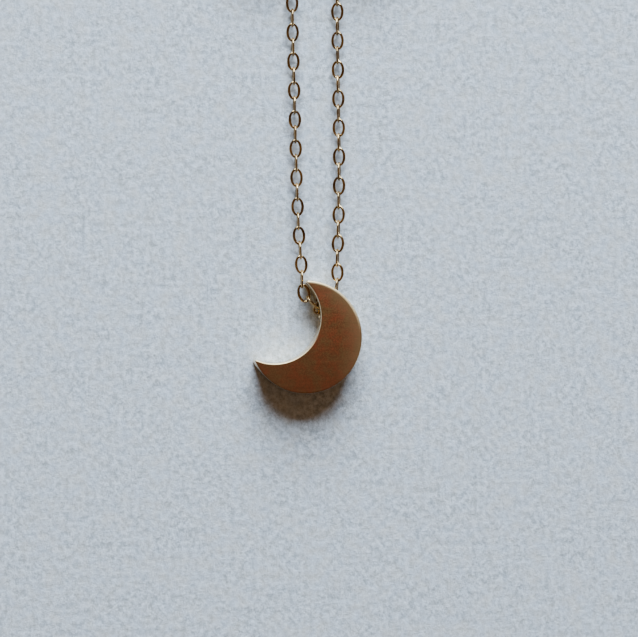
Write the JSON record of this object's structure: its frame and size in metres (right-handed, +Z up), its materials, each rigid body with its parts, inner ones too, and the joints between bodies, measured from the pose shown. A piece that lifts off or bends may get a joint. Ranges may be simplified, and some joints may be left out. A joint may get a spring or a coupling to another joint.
{
  "type": "pendant necklace",
  "caption": "Crescent moon slider pendant threaded on a fine oval cable chain, lying flat, with a spring ring clasp, unfastened.",
  "frame": {"origin": "on the pendant's flat back, in the middle of the crescent's widest part", "axes": "+Z up out of the face, +Y along the two strands away from the pendant, +X to the pendant's right seen from the front"},
  "size_m": [0.0203, 0.0602, 0.0031],
  "materials": {
    "satin_rose_gold": "fine satin brushing with bright worn edges",
    "chain_gold": "polished",
    "clasp_gold": "polished",
    "spring_steel": "drawn wire"
  },
  "bodies": {
    "inside_links": {"inside_link_00": "chain_gold", "inside_link_01": "chain_gold"},
    "pendant": {"crescent_pendant": "satin_rose_gold"},
    "left_cross_1": {"left_link_00": "chain_gold"},
    "left_run_1": {"left_link_01": "chain_gold", "left_link_02": "chain_gold", "left_link_03": "chain_gold", "left_link_04": "chain_gold", "left_link_05": "chain_gold"},
    "left_cross_2": {"left_link_06": "chain_gold"},
    "left_run_2": {"left_link_07": "chain_gold", "left_link_08": "chain_gold", "left_link_09": "chain_gold", "left_link_10": "chain_gold", "left_link_11": "chain_gold"},
    "left_cross_3": {"left_link_12": "chain_gold"},
    "left_run_3": {"left_link_13": "chain_gold", "left_link_14": "chain_gold", "left_link_15": "chain_gold", "left_link_16": "chain_gold", "left_link_17": "chain_gold"},
    "left_cross_4": {"left_link_18": "chain_gold"},
    "left_end": {"left_link_19": "chain_gold", "left_link_20": "chain_gold", "left_link_21": "chain_gold", "left_link_22": "chain_gold", "left_chain_hank": "chain_gold", "clasp_jump_ring": "clasp_gold"},
    "right_cross_1": {"right_link_00": "chain_gold"},
    "right_run_1": {"right_link_01": "chain_gold", "right_link_02": "chain_gold", "right_link_03": "chain_gold", "right_link_04": "chain_gold", "right_link_05": "chain_gold"},
    "right_cross_2": {"right_link_06": "chain_gold"},
    "right_run_2": {"right_link_07": "chain_gold", "right_link_08": "chain_gold", "right_link_09": "chain_gold", "right_link_10": "chain_gold", "right_link_11": "chain_gold"},
    "right_cross_3": {"right_link_12": "chain_gold"},
    "right_run_3": {"right_link_13": "chain_gold", "right_link_14": "chain_gold", "right_link_15": "chain_gold", "right_link_16": "chain_gold", "right_link_17": "chain_gold"},
    "right_cross_4": {"right_link_18": "chain_gold"},
    "right_end": {"right_link_19": "chain_gold", "right_link_20": "chain_gold", "right_link_21": "chain_gold", "right_chain_hank": "chain_gold"},
    "clasp": {"clasp_ring": "clasp_gold", "clasp_eye": "clasp_gold", "clasp_spring": "spring_steel"},
    "clasp_bolt": {"clasp_bolt": "clasp_gold"},
    "end_ring": {"end_ring": "clasp_gold"}
  },
  "joints": [
    {"name": "pendant_turn", "type": "hinge", "parent": "inside_links", "child": "pendant", "pos_m": [-0.00139, 0.00456, 0.00155], "axis": [-0.788, -0.6157, 0], "range_deg": [0, 60]},
    {"name": "left_swing_1", "type": "hinge", "parent": "inside_links", "child": "left_cross_1", "pos_m": [-0.00139, 0.00456, 0.00155], "axis": [-0.0205, 0.0219, 0.9996], "range_deg": [0, 80]},
    {"name": "left_lift_1", "type": "hinge", "parent": "left_cross_1", "child": "left_run_1", "pos_m": [-0.00258, 0.00533, 0.00147], "axis": [0.9672, 0.2542, 0], "range_deg": [0, 30]},
    {"name": "left_swing_2", "type": "hinge", "parent": "left_run_1", "child": "left_cross_2", "pos_m": [-0.00327, 0.01252, 0.00094], "axis": [-0.0028, 0.0707, 0.9975], "range_deg": [0, 25]},
    {"name": "left_lift_2", "type": "hinge", "parent": "left_cross_2", "child": "left_run_2", "pos_m": [-0.00333, 0.01397, 0.00083], "axis": [0.9994, 0.0339, 0], "range_deg": [0, 45]},
    {"name": "left_swing_3", "type": "hinge", "parent": "left_run_2", "child": "left_cross_3", "pos_m": [-0.00355, 0.02124, 0.00064], "axis": [-0.0001, 0.0045, 1], "range_deg": [0, 25]},
    {"name": "left_lift_3", "type": "hinge", "parent": "left_cross_3", "child": "left_run_3", "pos_m": [-0.00359, 0.02269, 0.00064], "axis": [0.9997, 0.0248, 0], "range_deg": [0, 45]},
    {"name": "left_swing_4", "type": "hinge", "parent": "left_run_3", "child": "left_cross_4", "pos_m": [-0.00378, 0.02996, 0.00064], "axis": [0, -0.0003, 1], "range_deg": [0, 25]},
    {"name": "left_lift_4", "type": "hinge", "parent": "left_cross_4", "child": "left_end", "pos_m": [-0.00382, 0.03142, 0.00064], "axis": [0.9998, 0.0219, 0], "range_deg": [0, 45]},
    {"name": "right_swing_1", "type": "hinge", "parent": "inside_links", "child": "right_cross_1", "pos_m": [0.00039, 0.00595, 0.00155], "axis": [0.2347, -0.0703, -0.9695], "range_deg": [0, 60]},
    {"name": "right_lift_1", "type": "hinge", "parent": "right_cross_1", "child": "right_run_1", "pos_m": [0.0006, 0.00739, 0.0015], "axis": [0.9699, 0.0351, 0.2412], "range_deg": [0, 75]},
    {"name": "right_swing_2", "type": "hinge", "parent": "right_run_1", "child": "right_cross_2", "pos_m": [0.00078, 0.01464, 0.00088], "axis": [0.2408, -0.0591, -0.9688], "range_deg": [0, 25]},
    {"name": "right_lift_2", "type": "hinge", "parent": "right_cross_2", "child": "right_run_2", "pos_m": [0.00081, 0.01609, 0.00079], "axis": [0.9704, -0.0024, 0.2417], "range_deg": [0, 45]},
    {"name": "right_swing_3", "type": "hinge", "parent": "right_run_2", "child": "right_cross_3", "pos_m": [0.0008, 0.02336, 0.00064], "axis": [0.2419, 0.0064, -0.9703], "range_deg": [0, 25]},
    {"name": "right_lift_3", "type": "hinge", "parent": "right_cross_3", "child": "right_run_3", "pos_m": [0.00078, 0.02481, 0.00064], "axis": [0.9999, 0.0143, 0], "range_deg": [0, 45]},
    {"name": "right_swing_4", "type": "hinge", "parent": "right_run_3", "child": "right_cross_4", "pos_m": [0.00068, 0.03209, 0.00064], "axis": [0.2419, 0.0018, -0.9703], "range_deg": [0, 25]},
    {"name": "right_lift_4", "type": "hinge", "parent": "right_cross_4", "child": "right_end", "pos_m": [0.00067, 0.03354, 0.00064], "axis": [1, 0.0058, 0], "range_deg": [0, 45]},
    {"name": "clasp_swing", "type": "hinge", "parent": "left_end", "child": "clasp", "pos_m": [-0.00677, 0.04394, 0.00096], "axis": [1, 0, 0], "range_deg": [0, 80]},
    {"name": "bolt_slide", "type": "hinge", "parent": "clasp", "child": "clasp_bolt", "pos_m": [-0.00677, 0.04793, 0.00055], "axis": [0, 0, -1], "range_deg": [0, 50], "stiffness_Nm_per_rad": 0.003, "springref_deg": -20.05, "deforming": ["clasp_spring"]},
    {"name": "end_ring_swing", "type": "hinge", "parent": "right_end", "child": "end_ring", "pos_m": [0.00353, 0.04313, 0.0002], "axis": [1, 0, 0], "range_deg": [0, 90]}
  ]
}
